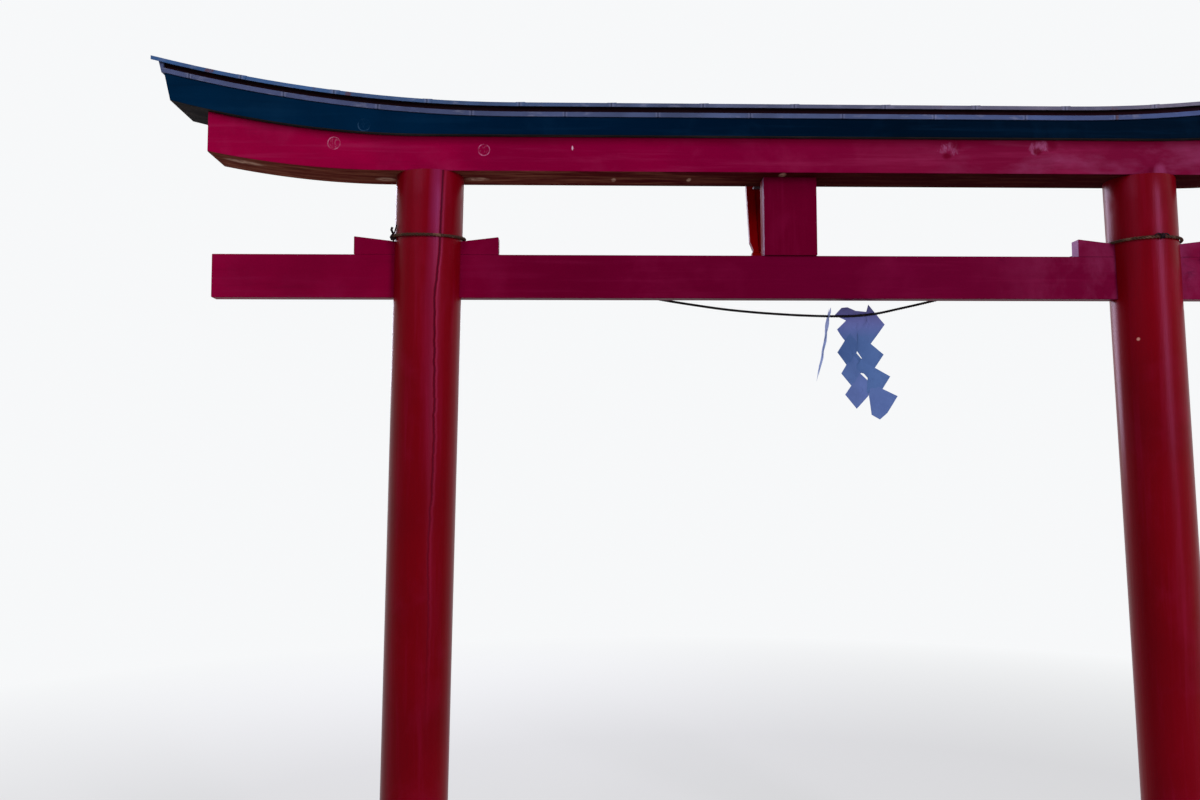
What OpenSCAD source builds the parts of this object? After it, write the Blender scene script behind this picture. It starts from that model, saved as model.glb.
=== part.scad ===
// Roofed shrine gate of round pillars, with a wedged tie beam and a double lintel that sweeps up at its ends.
// Millimetres, +Z up. The origin is the middle of the left pillar's foot; +X runs to the right pillar.

/* [Pillars] */
// distance between the two pillars' axes at the lintel's underside
pillar_spacing = 2365; // [1800:10:3000]
// height of the pillars, foot to the lintel's underside
pillar_h = 2600; // [2200:10:3200]
// diameter of a pillar at the top
pillar_d_top = 220; // [160:2:300]
// diameter of a pillar at the foot
pillar_d_foot = 212; // [160:2:300]
// inward lean of the left pillar, in mm for each mm of height
lean_left = 0.018; // [0:0.001:0.04]
// inward lean of the right pillar, in mm for each mm of height
lean_right = 0.027; // [0:0.001:0.04]

/* [Tie beam] */
// half of the tie beam's length
tie_half = 1882; // [1500:1:2200]
// height of the tie beam's section
tie_h = 142; // [90:1:200]
// thickness of the tie beam
tie_t = 47; // [30:1:90]
// distance from the lintel's underside down to the tie beam's top
tie_drop = 259; // [150:5:450]

/* [Wedges] */
// distance from the pillar's axis to the outer wedge's thick end
wedge_out = 239; // [180:1:300]
// distance from the pillar's axis to the inner wedge's thick end
wedge_in = 230; // [180:1:300]
// height of a wedge at its thick end
wedge_h = 59; // [40:1:80]
// height of a wedge at the pillar's axis
wedge_tip_h = 30; // [10:1:50]

/* [Centre strut] */
// width of the strut between the tie beam and the lintel
strut_w = 174; // [100:1:260]
// thickness of the strut
strut_t = 67; // [40:1:120]

/* [Lower lintel] */
// half of the lower lintel's length
lower_half = 1883; // [1500:1:2300]
// depth of the lower lintel, front to back
lower_t = 172; // [120:1:240]
// height of the lower lintel's section at the middle
lower_h = 114; // [80:1:180]
// rise of the lower lintel's underside at its end
lower_rise = 59; // [0:1:150]

/* [Upper lintel] */
// half of the upper lintel's length along its lower edge
upper_half = 1998; // [1600:1:2400]
// depth of the upper lintel, front to back
upper_t = 208; // [150:1:280]
// height of the upper lintel's section at the middle
upper_h = 59; // [40:1:120]
// outward slant of the upper lintel's end over its height
upper_slant = 21; // [0:1:60]

/* [Cap] */
// height of the metal band along the upper lintel's top
band_h = 15; // [10:1:40]
// thickness of the band strip
band_t = 10; // [4:1:20]
// depth of the cap board, front to back
cap_t = 196; // [150:1:250]
// height of the shadow gap between band and roof sheet
gap_h = 15; // [8:1:40]
// depth of the roof sheet, front to back
sheet_t = 236; // [200:1:300]
// height of the roof sheet's turned-down edge
sheet_edge = 12; // [6:1:30]
// rise of the roof sheet from its edge to the ridge
sheet_rise = 30; // [10:1:80]
// thickness of the roof sheet
sheet_thk = 3; // [1:0.5:6]
// half of the roof sheet's length
sheet_half = 2056; // [1700:1:2500]

/* [Plaque] */
// width of the plaque over its side rails
plaque_w = 228; // [160:1:320]
// height of the plaque over its frame
plaque_h = 330; // [220:1:450]
// forward lean of the plaque in degrees
plaque_tilt = 16; // [0:1:30]

/* [Rope] */
// distance from the lintel's underside down to the left pillar's rope
loop_drop_left = 201; // [100:1:260]
// distance from the lintel's underside down to the right pillar's rope
loop_drop_right = 211; // [100:1:260]
// diameter of the rope tied around a pillar
loop_d = 10.5; // [6:0.5:20]
// diameter of the rope between the pillars
span_d = 6; // [4:0.5:12]

/* [Streamers] */
// size of the left streamer against the right one
left_size = 0.78; // [0.5:0.01:1.2]
// turn of the left streamer about the vertical, in degrees
left_turn = 80; // [0:1:90]
// sideways drift of the left streamer as it hangs, in degrees
left_drift = 11; // [0:1:20]

/* [Hidden] */
centre_x = pillar_spacing / 2 + lean_left * pillar_h;
right_x = pillar_spacing + (lean_left + lean_right) * pillar_h;
tie_top = pillar_h - tie_drop;
tie_bot = tie_top - tie_h;
low_arc = 1300;
mid_arc = 1180;
mid_r = 3200;
top_arc = 900;
top_r = 4650;
cap_half = 2019;
black_bot = pillar_h + lower_h;
black_top = black_bot + upper_h;
band_top = black_top + band_h;
sheet_low = band_top + gap_h;
loop_left_z = pillar_h - loop_drop_left;
loop_right_z = pillar_h - loop_drop_right;
steps = 16;
rail = 28;
tube_sides = 10;
// route of the hanging rope, measured from the gate's middle
span_path = [
  [-1180, 118, 2412],
  [-1100, 120, 2385],
  [-1000, 119, 2356],
  [-900, 118, 2328],
  [-800, 117, 2302],
  [-700, 117, 2277],
  [-600, 116, 2254],
  [-500, 116, 2233],
  [-400, 116, 2214],
  [-300, 115, 2198],
  [-200, 115, 2184],
  [-100, 115, 2174],
  [0, 115, 2167],
  [80, 115, 2163],
  [160, 115, 2161],
  [240, 115, 2162],
  [320, 115, 2170],
  [400, 115, 2187],
  [500, 116, 2210],
  [600, 116, 2236],
  [700, 117, 2265],
  [800, 117, 2297],
  [900, 118, 2331],
  [1000, 119, 2366],
  [1100, 120, 2398],
  [1180, 118, 2416]
];
// edge of a paper streamer in X and Z, measured from the point where it hangs on the rope
paper_top = [[-35, -13], [-77, 2], [-52, 28], [-32, 30], [0, 16], [39, 39], [52, 9], [94, -30]];
paper_right = [[40, -102], [86, -134], [57, -178], [106, -209]];
paper_foot = [[80, -251], [129, -276], [94, -333], [69, -355], [42, -339], [34, -273], [-6, -318], [-42, -269], [-23, -245]];
short_foot = [[70, -266], [48, -282], [22, -262], [14, -205], [-24, -243]];
paper_left = [[-53, -196], [-36, -166], [-64, -123], [-40, -83], [-66, -45]];

module at_middle() {
  translate([centre_x, 0, 0])
  children();
}

// the right pillar's foot, with +X turned to point at the left pillar
module at_right() {
  translate([right_x, 0, 0])
  mirror([1, 0, 0])
  children();
}

// bends: the rise of each curved line at a distance from the middle
function past(x, start) = max(0, abs(x) - start);
function low_rise(x) = lower_rise * pow(past(x, low_arc) / (lower_half - low_arc), 2);
function mid_rise(x) = pow(past(x, mid_arc), 2) / (2 * mid_r);
function top_rise(x) = pow(past(x, top_arc), 2) / (2 * top_r);
function ramp(from, to, n) = [for (i = [0 : n]) from + (to - from) * i / n];
function back_to_front(list) = [for (i = [len(list) - 1 : -1 : 0]) list[i]];

// stretches an outline drawn in X and Z through the depth t
module through(t) {
  rotate([90, 0, 0])
  linear_extrude(height = t, center = true)
  children();
}

// carries a section, drawn in Y and Z, along the upper bend through the stations xs;
// caps lists the convex parts that fill the section at both ends
module along_bend(section, xs, caps) {
  n = len(section);
  m = len(xs);
  pts = [for (x = xs) for (p = section) [x, p[0], p[1] + top_rise(x)]];
  side = [for (i = [0 : m - 2]) for (j = [0 : n - 1])
    [i * n + j, i * n + (j + 1) % n, (i + 1) * n + (j + 1) % n, (i + 1) * n + j]];
  first = [for (c = caps) back_to_front(c)];
  last = [for (c = caps) [for (j = c) (m - 1) * n + j]];
  polyhedron(points = pts, faces = concat(side, first, last));
}

// vector helpers for the rope
function unit(v) = v / norm(v);
function dir_at(p, i) = unit(p[min(i + 1, len(p) - 1)] - p[max(i - 1, 0)]);

// a round tube through the points of a route
module tube(path, d, sides) {
  m = len(path);
  pts = [for (i = [0 : m - 1])
    let (t = dir_at(path, i), u = unit(cross([0, 1, 0], t)), v = cross(t, u))
    for (k = [0 : sides - 1])
    path[i] + d / 2 * (cos(360 * k / sides) * u + sin(360 * k / sides) * v)];
  side = [for (i = [0 : m - 2]) for (k = [0 : sides - 1])
    [i * sides + k, (i + 1) * sides + k, (i + 1) * sides + (k + 1) % sides, i * sides + (k + 1) % sides]];
  first = [[for (k = [0 : sides - 1]) k]];
  last = [[for (k = [sides - 1 : -1 : 0]) (m - 1) * sides + k]];
  polyhedron(points = pts, faces = concat(side, first, last));
}

// a pillar with its foot at the origin, which leans to +X
module pillar(lean) {
  difference() {
    rotate([0, atan(lean), 0])
    translate([0, 0, -20])
    cylinder(h = pillar_h + 60, d1 = pillar_d_foot, d2 = pillar_d_top, $fn = 96);
    translate([-200, -200, -100])
    cube([600, 400, 100]);
    translate([-300, -200, pillar_h])
    cube([600, 400, 100]);
    translate([lean * tie_top, 0, 0])
    mortise();
  }
}

module mortise() {
  k = (wedge_h - wedge_tip_h) / wedge_out;
  through(tie_t + 2)
  polygon([
    [-200, tie_bot],
    [200, tie_bot],
    [200, tie_top + wedge_tip_h + 200 * k],
    [0, tie_top + wedge_tip_h],
    [-200, tie_top + wedge_tip_h + 200 * k]
  ]);
}

// a wedge on the +X side of a pillar's axis
module wedge(reach) {
  k = (wedge_h - wedge_tip_h) / wedge_out;
  through(tie_t)
  polygon([
    [2, tie_top],
    [reach, tie_top],
    [reach, tie_top + wedge_tip_h + reach * k],
    [2, tie_top + wedge_tip_h + 2 * k]
  ]);
}

module pillar_left() {
  color([0.42, 0.03, 0.06])
  pillar(lean_left);
}

module pillar_right() {
  color([0.42, 0.03, 0.06])
  at_right()
  pillar(lean_right);
}

module tie_beam() {
  color([0.44, 0.03, 0.12])
  at_middle()
  translate([-tie_half, -tie_t / 2, tie_bot])
  cube([2 * tie_half, tie_t, tie_h]);
}

module wedge_left_outer() {
  color([0.44, 0.03, 0.12])
  translate([lean_left * tie_top, 0, 0])
  mirror([1, 0, 0])
  wedge(wedge_out);
}

module wedge_left_inner() {
  color([0.44, 0.03, 0.12])
  translate([lean_left * tie_top, 0, 0])
  wedge(wedge_in);
}

module wedge_right_inner() {
  color([0.44, 0.03, 0.12])
  at_right()
  translate([lean_right * tie_top, 0, 0])
  wedge(wedge_in);
}

module wedge_right_outer() {
  color([0.44, 0.03, 0.12])
  at_right()
  translate([lean_right * tie_top, 0, 0])
  mirror([1, 0, 0])
  wedge(wedge_out);
}

module centre_strut() {
  color([0.40, 0.02, 0.10])
  at_middle()
  translate([-strut_w / 2, -strut_t / 2, tie_top])
  cube([strut_w, strut_t, tie_drop]);
}

module lower_lintel() {
  right_low = [for (x = ramp(low_arc, lower_half, steps)) [x, pillar_h + low_rise(x)]];
  left_low = [for (x = ramp(-lower_half, -low_arc, steps)) [x, pillar_h + low_rise(x)]];
  right_top = [for (x = ramp(lower_half, mid_arc, steps)) [x, black_bot + mid_rise(x)]];
  left_top = [for (x = ramp(-mid_arc, -lower_half, steps)) [x, black_bot + mid_rise(x)]];
  color([0.50, 0.02, 0.20])
  at_middle()
  through(lower_t)
  polygon(concat(left_low, right_low, right_top, left_top));
}

module upper_lintel() {
  half_top = upper_half + upper_slant;
  left_low = [for (x = ramp(-upper_half, -mid_arc, steps)) [x, black_bot + mid_rise(x)]];
  right_low = [for (x = ramp(mid_arc, upper_half, steps)) [x, black_bot + mid_rise(x)]];
  right_top = [for (x = ramp(half_top, top_arc, steps)) [x, black_top + top_rise(x)]];
  left_top = [for (x = ramp(-top_arc, -half_top, steps)) [x, black_top + top_rise(x)]];
  color([0.02, 0.10, 0.18])
  at_middle()
  through(upper_t)
  polygon(concat(left_low, right_low, right_top, left_top));
}

function bend_stations(half) = concat(
  ramp(-half, -top_arc, steps),
  ramp(top_arc, half, steps));

module band_side(s) {
  y0 = s * cap_t / 2;
  y1 = s * (cap_t / 2 + band_t);
  lo = min(y0, y1);
  hi = max(y0, y1);
  at_middle()
  along_bend([
    [lo, black_top],
    [hi, black_top],
    [hi, band_top],
    [lo, band_top]
  ], bend_stations(cap_half), [[0, 1, 2, 3]]);
}

module band_front() {
  color([0.30, 0.34, 0.46])
  band_side(1);
}

module band_back() {
  color([0.30, 0.34, 0.46])
  band_side(-1);
}

// the flared board that closes the gap under the roof sheet's end; s is -1 on the left
module band_end(s) {
  z0 = black_top + top_rise(cap_half);
  z1 = z0 + band_h + gap_h + 8;
  at_middle()
  mirror([s < 0 ? 1 : 0, 0, 0])
  through(cap_t + 2 * band_t)
  polygon([
    [cap_half, z0],
    [cap_half + 6, z0],
    [cap_half + 16, z1],
    [cap_half, z1]
  ]);
}

module band_left() {
  color([0.30, 0.34, 0.46])
  band_end(-1);
}

module band_right() {
  color([0.30, 0.34, 0.46])
  band_end(1);
}

// height of the roof's underside at the depth y
function roof_under(y) = sheet_low + sheet_edge - sheet_thk + sheet_rise * (1 - abs(y) / (sheet_t / 2));

module cap_board() {
  c = cap_t / 2;
  color([0.05, 0.04, 0.05])
  at_middle()
  along_bend([
    [-c, black_top],
    [c, black_top],
    [c, roof_under(c)],
    [0, roof_under(0)],
    [-c, roof_under(c)]
  ], bend_stations(cap_half), [[0, 1, 2, 3, 4]]);
}

module roof_sheet(xs) {
  h = sheet_t / 2;
  k = h - sheet_thk;
  at_middle()
  along_bend([
    [-h, sheet_low],
    [-k, sheet_low],
    [-k, roof_under(k)],
    [0, roof_under(0)],
    [k, roof_under(k)],
    [k, sheet_low],
    [h, sheet_low],
    [h, sheet_low + sheet_edge],
    [0, sheet_low + sheet_edge + sheet_rise],
    [-h, sheet_low + sheet_edge]
  ], xs, [[0, 1, 2, 9], [2, 3, 8, 9], [3, 4, 7, 8], [4, 5, 6, 7]]);
}

module roof_sheet_left() {
  color([0.34, 0.40, 0.50])
  roof_sheet(ramp(-sheet_half, -top_arc, steps));
}

module roof_sheet_middle() {
  color([0.34, 0.40, 0.50])
  roof_sheet([-top_arc, top_arc]);
}

module roof_sheet_right() {
  color([0.34, 0.40, 0.50])
  roof_sheet(ramp(top_arc, sheet_half, steps));
}

// places plaque pieces: x across, y towards the viewer side, z up from the plaque's foot
module on_plaque() {
  translate([centre_x, 68, tie_top + 4])
  rotate([-plaque_tilt, 0, 0])
  children();
}

module plaque_panel() {
  color([0.42, 0.02, 0.06])
  on_plaque()
  translate([-plaque_w / 2 + rail, 8, rail])
  cube([plaque_w - 2 * rail, 10, plaque_h - 2 * rail]);
}

// a rail of the frame: its face is bevelled down towards the panel; w runs across, l along +X
module rail_bar(w, l) {
  rotate([90, 0, 90])
  linear_extrude(height = l)
  polygon([[0, 0], [24, 0], [24, w * 0.45], [18, w], [0, w]]);
}

module plaque_frame_top() {
  color([0.44, 0.03, 0.06])
  on_plaque()
  translate([-plaque_w / 2 - 8, 0, plaque_h])
  mirror([0, 0, 1])
  rail_bar(rail, plaque_w + 16);
}

module plaque_frame_bottom() {
  color([0.44, 0.03, 0.06])
  on_plaque()
  translate([-plaque_w / 2 + 4, 0, 0])
  rail_bar(rail, plaque_w - 8);
}

// a side rail, waisted near its foot; s is -1 on the left
module side_rail(s) {
  x0 = plaque_w / 2;
  on_plaque()
  mirror([s < 0 ? 1 : 0, 0, 0])
  translate([0, 11, 0])
  through(22)
  polygon([
    [x0 - rail, rail],
    [x0 - 8, rail],
    [x0 - 10, rail + 12],
    [x0 - 6, rail + 26],
    [x0, rail + 44],
    [x0, plaque_h - rail],
    [x0 - rail, plaque_h - rail]
  ]);
}

module plaque_frame_left() {
  color([0.44, 0.03, 0.06])
  side_rail(-1);
}

module plaque_frame_right() {
  color([0.44, 0.03, 0.06])
  side_rail(1);
}

// a flat bar under the lintel's far edge, with two arms that reach into the plaque's back
module plaque_hook() {
  color([0.45, 0.45, 0.48])
  translate([centre_x, 0, pillar_h - 4])
  union() {
    translate([-100, 82, 0])
    cube([200, 22, 4]);
    translate([-44, 82, 0])
    cube([20, 66, 4]);
    translate([24, 82, 0])
    cube([20, 66, 4]);
  }
}

module plaque_rest() {
  color([0.42, 0.02, 0.06])
  translate([centre_x - 50, strut_t / 2, tie_top])
  cube([100, 36, 30]);
}

// a rope round a pillar's axis; front and side are its tilts in degrees
module rope_loop(front, side) {
  rotate([front, side, 0])
  rotate_extrude($fn = 64)
  translate([110.6 + loop_d / 2, 0, 0])
  circle(d = loop_d, $fn = 16);
}

module rope_loop_left() {
  color([0.22, 0.20, 0.14])
  translate([lean_left * loop_left_z, 0, loop_left_z])
  rope_loop(6, 1.5);
}

module rope_loop_right() {
  color([0.22, 0.20, 0.14])
  at_right()
  translate([lean_right * loop_right_z, 0, loop_right_z])
  rope_loop(0, 0.5);
}

// a round-ended length of rope from the origin to a point
module stub(to, d) {
  length = norm(to);
  rotate([0, acos(to[2] / length), atan2(to[1], to[0])])
  cylinder(h = length, d = d, $fn = 16);
  translate(to)
  sphere(d = d, $fn = 16);
}

// the knot on the left pillar's outer side, with two tails that stand up
module rope_knot_left() {
  color([0.22, 0.20, 0.14])
  translate([lean_left * loop_left_z - 111, -36, loop_left_z - 5])
  union() {
    sphere(d = 16, $fn = 24);
    stub([-2, 0, 35], 5);
    stub([16, -26, 38], 5);
    stub([3, -5, -13], 5);
  }
}

// the knot in front of the right pillar, with two tails that lie along its rope
module rope_knot_right() {
  color([0.22, 0.20, 0.14])
  at_right()
  translate([lean_right * loop_right_z, -117, loop_right_z + 2])
  union() {
    sphere(d = 15, $fn = 24);
    stub([23, 1, 4], 5);
    stub([-21, 1, 5], 5);
  }
}

module rope_span() {
  color([0.08, 0.07, 0.06])
  at_middle()
  tube(span_path, span_d, tube_sides);
}

// a streamer cut through where the rope carries it
module streamer_left() {
  color([0.80, 0.84, 0.92])
  difference() {
    at_middle()
    translate([160, 115, 2161])
    rotate([0, left_drift, 0])
    rotate([0, 0, left_turn])
    scale([left_size, 1, left_size])
    through(2)
    polygon(concat(paper_top, paper_right, short_foot, paper_left));
    at_middle()
    translate([160, 115, 2161])
    rotate([0, 90, 0])
    cylinder(h = 60, d = span_d + 0.4, center = true, $fn = 24);
  }
}

// a streamer against the far side of the rope
module streamer_right() {
  color([0.80, 0.84, 0.92])
  at_middle()
  translate([256, 115 + span_d / 2 + 1, 2163])
  through(2)
  polygon(concat(paper_top, paper_right, paper_foot, paper_left));
}

pillar_left();
pillar_right();
tie_beam();
wedge_left_outer();
wedge_left_inner();
wedge_right_inner();
wedge_right_outer();
centre_strut();
lower_lintel();
upper_lintel();
band_front();
band_back();
band_left();
band_right();
cap_board();
roof_sheet_left();
roof_sheet_middle();
roof_sheet_right();
plaque_panel();
plaque_frame_top();
plaque_frame_bottom();
plaque_frame_left();
plaque_frame_right();
plaque_hook();
plaque_rest();
rope_loop_left();
rope_loop_right();
rope_knot_left();
rope_knot_right();
rope_span();
streamer_left();
streamer_right();
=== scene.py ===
import math

import bpy
from mathutils import Matrix, Vector


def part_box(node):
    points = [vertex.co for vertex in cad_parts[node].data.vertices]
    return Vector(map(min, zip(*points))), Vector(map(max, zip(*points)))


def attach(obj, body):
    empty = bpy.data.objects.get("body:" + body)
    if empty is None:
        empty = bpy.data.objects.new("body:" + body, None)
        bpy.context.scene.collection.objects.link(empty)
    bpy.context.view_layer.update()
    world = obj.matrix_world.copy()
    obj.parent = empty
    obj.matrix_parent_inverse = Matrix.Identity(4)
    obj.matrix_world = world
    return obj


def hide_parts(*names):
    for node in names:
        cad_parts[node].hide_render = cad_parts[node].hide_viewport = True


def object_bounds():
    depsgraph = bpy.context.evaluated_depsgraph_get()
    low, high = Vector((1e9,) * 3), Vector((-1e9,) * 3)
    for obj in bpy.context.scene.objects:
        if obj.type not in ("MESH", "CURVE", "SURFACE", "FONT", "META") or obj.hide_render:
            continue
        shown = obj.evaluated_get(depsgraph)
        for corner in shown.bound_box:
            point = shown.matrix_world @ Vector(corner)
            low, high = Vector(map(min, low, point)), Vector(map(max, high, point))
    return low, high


# Looks of a red timber shrine gate, in metres, in the solid model's own frame.
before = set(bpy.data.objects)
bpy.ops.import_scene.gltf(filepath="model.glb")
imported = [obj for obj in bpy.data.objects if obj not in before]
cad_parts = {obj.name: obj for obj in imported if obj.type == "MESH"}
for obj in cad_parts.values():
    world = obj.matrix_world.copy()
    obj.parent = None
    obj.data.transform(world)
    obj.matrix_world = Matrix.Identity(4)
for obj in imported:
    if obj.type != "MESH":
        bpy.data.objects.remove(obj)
cad_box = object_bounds()

# Driving sizes
MM = 0.001
lintel_low, lintel_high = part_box("lower_lintel")
MID = (lintel_low[0] + lintel_high[0]) / 2  # the gate's middle along X
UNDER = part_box("centre_strut")[1][2]  # underside of the lower lintel
LOWER_H, UPPER_H, BAND_H = 0.114, 0.059, 0.015  # heights of both lintels and their band at the middle
LOWER_ARC_START, LOWER_ARC_R = 1.18, 3.2  # the lower lintel's upsweep: where it starts, its radius
TOP_ARC_START, TOP_ARC_R = 0.9, 4.65  # the same for the band and the roof
LEFT_LEAN = 0.018  # inward lean of the left pillar, per metre of height
NEAR_FACE = lintel_low[1]  # the lower lintel's face that looks back along -Y
UPPER_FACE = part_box("upper_lintel")[0][1]
BEAM_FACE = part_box("tie_beam")[0][1]


def srgb(r, g, b):
    """An 8-bit screen colour as the linear colour that shaders take."""
    def lin(c):
        c = c / 255
        return c / 12.92 if c <= 0.04045 else ((c + 0.055) / 1.055) ** 2.4
    return (lin(r), lin(g), lin(b), 1.0)


# Camera
IMAGE_W = 1200  # the photograph is 1200 x 800
FOCAL_PX = 1045.28
SENSOR_W = 36
VIEW_REACH = 60
EYE = Vector((MID - 0.723, -3.400, UNDER - 0.956))
PITCH, YAW, ROLL = 0.06562, 0.02838, 0.0023  # in radians


def make_camera():
    """The photograph's own view."""
    forward = Vector((math.sin(YAW) * math.cos(PITCH), math.cos(YAW) * math.cos(PITCH), math.sin(PITCH)))
    right = Vector((math.cos(YAW), -math.sin(YAW), 0))
    down = forward.cross(right)
    x = math.cos(ROLL) * right + math.sin(ROLL) * down
    y = math.sin(ROLL) * right - math.cos(ROLL) * down
    z = -forward
    cam = bpy.data.objects.new("camera", bpy.data.cameras.new("camera"))
    bpy.context.collection.objects.link(cam)
    cam.matrix_world = Matrix([(x[i], y[i], z[i], EYE[i]) for i in range(3)] + [(0, 0, 0, 1)])
    cam.data.sensor_width = SENSOR_W
    cam.data.lens = SENSOR_W * FOCAL_PX / IMAGE_W
    cam.data.clip_end = VIEW_REACH
    bpy.context.scene.camera = cam


make_camera()


# Mesh helpers
def new_mesh(name, verts, faces, smooth=False):
    mesh = bpy.data.meshes.new(name)
    mesh.from_pydata([tuple(v) for v in verts], [], faces)
    mesh.validate()
    mesh.update()
    for p in mesh.polygons:
        p.use_smooth = smooth
    obj = bpy.data.objects.new(name, mesh)
    bpy.context.collection.objects.link(obj)
    return obj


def smooth_path(points, step):
    """Catmull-Rom points about step apart through the given ones."""
    pts = [Vector(p) for p in points]
    pts = [2 * pts[0] - pts[1]] + pts + [2 * pts[-1] - pts[-2]]
    out = []
    for i in range(1, len(pts) - 2):
        a, b, c, d = pts[i - 1:i + 3]
        n = max(1, int(round((c - b).length / step)))
        for k in range(n):
            t = k / n
            out.append(0.5 * (2 * b + (c - a) * t + (2 * a - 5 * b + 4 * c - d) * t * t
                              + (3 * b - a - 3 * c + d) * t ** 3))
    out.append(pts[-2])
    return out


ASIDE = Vector((0.1, 0.2, 1))  # a direction in which none of the lines runs


def frames(pts, closed=False):
    """Two side vectors at each point of a line, turned as little as possible."""
    n = len(pts)
    out = []
    side = None
    for i in range(n):
        if closed:
            t = pts[(i + 1) % n] - pts[i - 1]
        else:
            t = pts[min(i + 1, n - 1)] - pts[max(i - 1, 0)]
        t.normalize()
        if side is None:
            side = t.cross(ASIDE).normalized()
        side = (side - t * side.dot(t)).normalized()
        out.append((side, t.cross(side)))
    return out


# Ropes
STRANDS = 3
STRAND_SIDES = 6
STRAND_R = 0.27  # a strand's radius in a rope of thickness 1
SPAN_OVER_STRANDS = 0.0092  # across the strands' crests; the mean is SPAN_D
LOOP_D = 0.0105
SPAN_LAY, LOOP_LAY, TURN_LAY, TAIL_LAY = 0.026, 0.034, 0.020, 0.018  # length of one twist
SPAN_STEP, TAIL_STEP = 0.004, 0.0025  # distance between a line's points
LOOP_POINTS, TURN_POINTS = 260, 40
# the hanging rope's way in millimetres: X from the middle, Y and Z
SPAN_ROUTE = [
    (-1180, 118, 2412), (-1100, 120, 2385), (-1000, 119, 2356), (-900, 118, 2328),
    (-800, 117, 2302), (-700, 117, 2277), (-600, 116, 2254), (-500, 116, 2233),
    (-400, 116, 2214), (-300, 115, 2198), (-200, 115, 2184), (-100, 115, 2174),
    (0, 115, 2167), (80, 115, 2163), (160, 115, 2161), (240, 115, 2162),
    (320, 115, 2170), (400, 115, 2187), (500, 116, 2210), (600, 116, 2236),
    (700, 117, 2265), (800, 117, 2297), (900, 118, 2331), (1000, 119, 2366),
    (1100, 120, 2398), (1180, 118, 2416)]


def strand_rope(name, pts, dia, lay, closed=False):
    """A twisted rope: strands wound round the line through pts, one turn in each lay."""
    n = len(pts)
    sides = STRAND_SIDES
    axes = frames(pts, closed)
    r_strand = dia * STRAND_R
    r_lay = dia / 2 - r_strand
    run = [0.0]
    for a, b in zip(pts, pts[1:]):
        run.append(run[-1] + (b - a).length)
    total = run[-1] + ((pts[0] - pts[-1]).length if closed else 0)
    turns = max(1, round(total / lay)) if closed else total / lay
    verts, faces = [], []
    for k in range(STRANDS):
        base = len(verts)
        for i, (u, v) in enumerate(axes):
            a = 2 * math.pi * (turns * run[i] / total + k / STRANDS)
            c = pts[i] + r_lay * (math.cos(a) * u + math.sin(a) * v)
            for j in range(sides):
                b = 2 * math.pi * j / sides
                verts.append(c + r_strand * (math.cos(b) * u + math.sin(b) * v))
        for i in range(n if closed else n - 1):
            here, there = base + i * sides, base + (i + 1) % n * sides
            for j in range(sides):
                j2 = (j + 1) % sides
                faces.append((here + j, here + j2, there + j2, there + j))
        if not closed:
            faces.append(tuple(base + j for j in range(sides))[::-1])
            faces.append(tuple(base + (n - 1) * sides + j for j in range(sides)))
    return new_mesh(name, verts, faces, smooth=True)


span_line = smooth_path([Vector((MID + x * MM, y * MM, z * MM)) for x, y, z in SPAN_ROUTE], SPAN_STEP)
span = strand_rope("rope_span_strands", span_line, SPAN_OVER_STRANDS, SPAN_LAY)
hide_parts("rope_span")
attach(span, "root")


def middle(node):
    lo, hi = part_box(node)
    return (Vector(lo) + Vector(hi)) / 2


def loop_line(node, front, side):
    """The middle line of the rope tied round a pillar: its solid's place, with the same tilts in degrees."""
    lo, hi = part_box(node)
    turn = Matrix.Rotation(math.radians(side), 3, "Y") @ Matrix.Rotation(math.radians(front), 3, "X")
    r = (hi[0] - lo[0]) / 2 - LOOP_D / 2
    centre = middle(node)
    angles = [2 * math.pi * i / LOOP_POINTS for i in range(LOOP_POINTS)]
    return [centre + turn @ Vector((r * math.cos(a), r * math.sin(a), 0)) for a in angles]


loops = []
for side, tilts in (("left", (6, 1.5)), ("right", (0, -0.5))):
    line = loop_line("rope_loop_" + side, *tilts)
    loop = strand_rope("rope_loop_%s_strands" % side, line, LOOP_D, LOOP_LAY, closed=True)
    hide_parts("rope_loop_" + side)
    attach(loop, "root")
    loops.append(loop)


def join(name, pieces):
    """One object from several meshes."""
    verts, faces = [], []
    for piece in pieces:
        base = len(verts)
        verts += [v.co.copy() for v in piece.data.vertices]
        faces += [tuple(base + k for k in p.vertices) for p in piece.data.polygons]
        bpy.data.meshes.remove(piece.data)
    return new_mesh(name, verts, faces, smooth=True)


# a knot's tight turns: shift along the loop, radius, and how far the turn slants
KNOT_TURNS = ((-0.0045, 0.0062, 0.0018), (0.0, 0.0072, -0.0027), (0.0046, 0.0060, 0.0015))


def tied_knot(name, centre, along, out, tails, dia):
    """An overhand knot: tight turns of rope about the loop's direction, and its loose ends.

    Each of the tails is a thickness in metres and a route from the centre in millimetres.
    """
    along, out = Vector(along).normalized(), Vector(out).normalized()
    up = along.cross(out)
    parts = []
    for k, (shift, radius, slant) in enumerate(KNOT_TURNS):
        ring = []
        for i in range(TURN_POINTS):
            a = 2 * math.pi * i / TURN_POINTS
            sway = along * (shift + slant * math.cos(a))
            ring.append(centre + sway + radius * (math.cos(a) * up + math.sin(a) * out))
        parts.append(strand_rope("%s_turn_%d" % (name, k), ring, dia, TURN_LAY, closed=True))
    for k, (thick, route) in enumerate(tails):
        line = smooth_path([centre + Vector(p) * MM for p in route], TAIL_STEP)
        parts.append(strand_rope("%s_tail_%d" % (name, k), line, thick, TAIL_LAY))
    return join(name, parts)


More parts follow.
